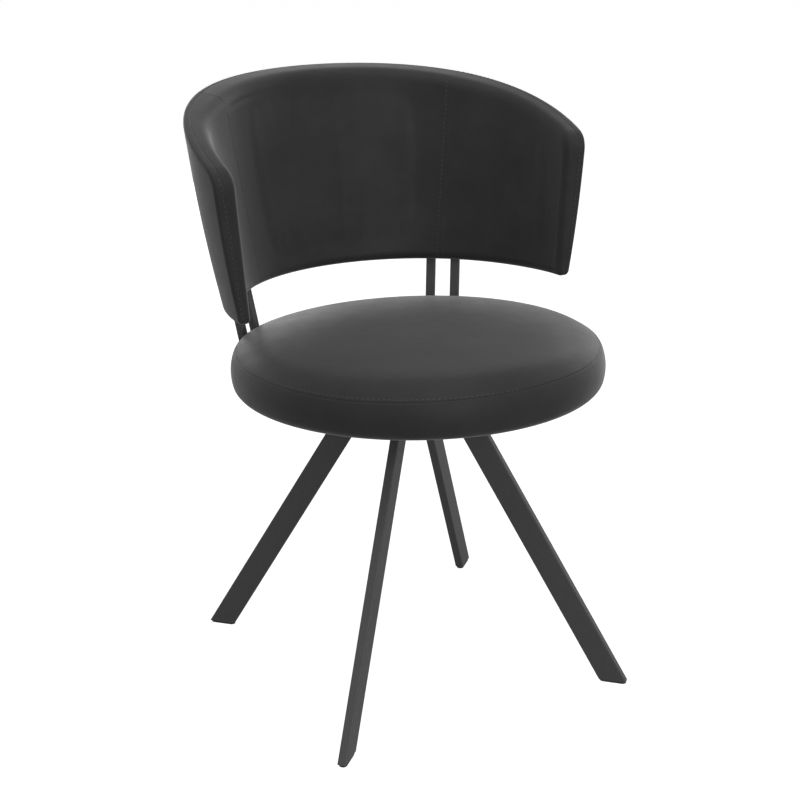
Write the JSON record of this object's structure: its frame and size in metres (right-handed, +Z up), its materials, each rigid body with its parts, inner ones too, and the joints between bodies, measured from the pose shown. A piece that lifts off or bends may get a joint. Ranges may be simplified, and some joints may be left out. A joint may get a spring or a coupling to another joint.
{
  "type": "swivel dining chair",
  "caption": "Dining chair whose round padded seat and wrap-around padded back turn on a ball-bearing swivel over splayed flat-bar legs, the back held by bent flat-bar posts",
  "frame": {"origin": "on the floor under the swivel axis, midway between the feet", "axes": "+Z up along the swivel axis, the front of the chair faces -Y and its back is on +Y at rest, +X to the right as seen from the front; node names use left and right as seen from the front"},
  "size_m": [0.533, 0.5684, 0.7707],
  "materials": {
    "powder_coat": "matte",
    "nylon": "matte",
    "zinc_plate": "satin",
    "ball_steel": "polished",
    "black_steel": "satin",
    "plywood": "raw",
    "foam": "matte",
    "dust_cloth": "matte",
    "leather": "soft sheen"
  },
  "bodies": {
    "base": {"leg_front_left": "powder_coat", "leg_front_right": "powder_coat", "leg_rear_left": "powder_coat", "leg_rear_right": "powder_coat", "foot_glide_front_left": "nylon", "foot_glide_front_right": "nylon", "foot_glide_rear_left": "nylon", "foot_glide_rear_right": "nylon", "base_plate": "powder_coat", "swivel_lower_plate": "zinc_plate", "swivel_lower_bolts": "black_steel"},
    "ball_ring": {"bearing_balls": "ball_steel", "ball_cage": "zinc_plate"},
    "seat": {"seat_plate": "powder_coat", "tilt_rail_left": "powder_coat", "tilt_rail_right": "powder_coat", "back_post_left_front": "powder_coat", "back_post_left_rear": "powder_coat", "back_post_right_front": "powder_coat", "back_post_right_rear": "powder_coat", "swivel_upper_plate": "zinc_plate", "swivel_upper_bolts": "black_steel", "swivel_pin": "black_steel", "swivel_nut": "black_steel", "seat_screws": "black_steel", "back_bolts": "black_steel", "seat_tee_nuts": "black_steel", "back_tee_nuts": "black_steel", "back_spacers": "black_steel", "seat_board": "plywood", "back_shell": "plywood", "seat_foam": "foam", "seat_dust_cover": "dust_cloth", "seat_cover_top": "leather", "seat_boxing": "leather", "inner_pad_left": "leather", "inner_pad_centre": "leather", "inner_pad_right": "leather", "outer_pad_left": "leather", "outer_pad_centre": "leather", "outer_pad_right": "leather"}
  },
  "joints": [
    {"name": "seat_swivel", "type": "hinge", "parent": "base", "child": "seat", "pos_m": [0, 0, 0.374], "axis": [0, 0, 1], "continuous": true},
    {"name": "ball_ring_spin", "type": "hinge", "parent": "base", "child": "ball_ring", "pos_m": [0, 0, 0.374], "axis": [0, 0, 1], "continuous": true}
  ],
  "couplings": [
    {"joint": "ball_ring_spin", "follows": "seat_swivel", "ratio": 0.5}
  ]
}
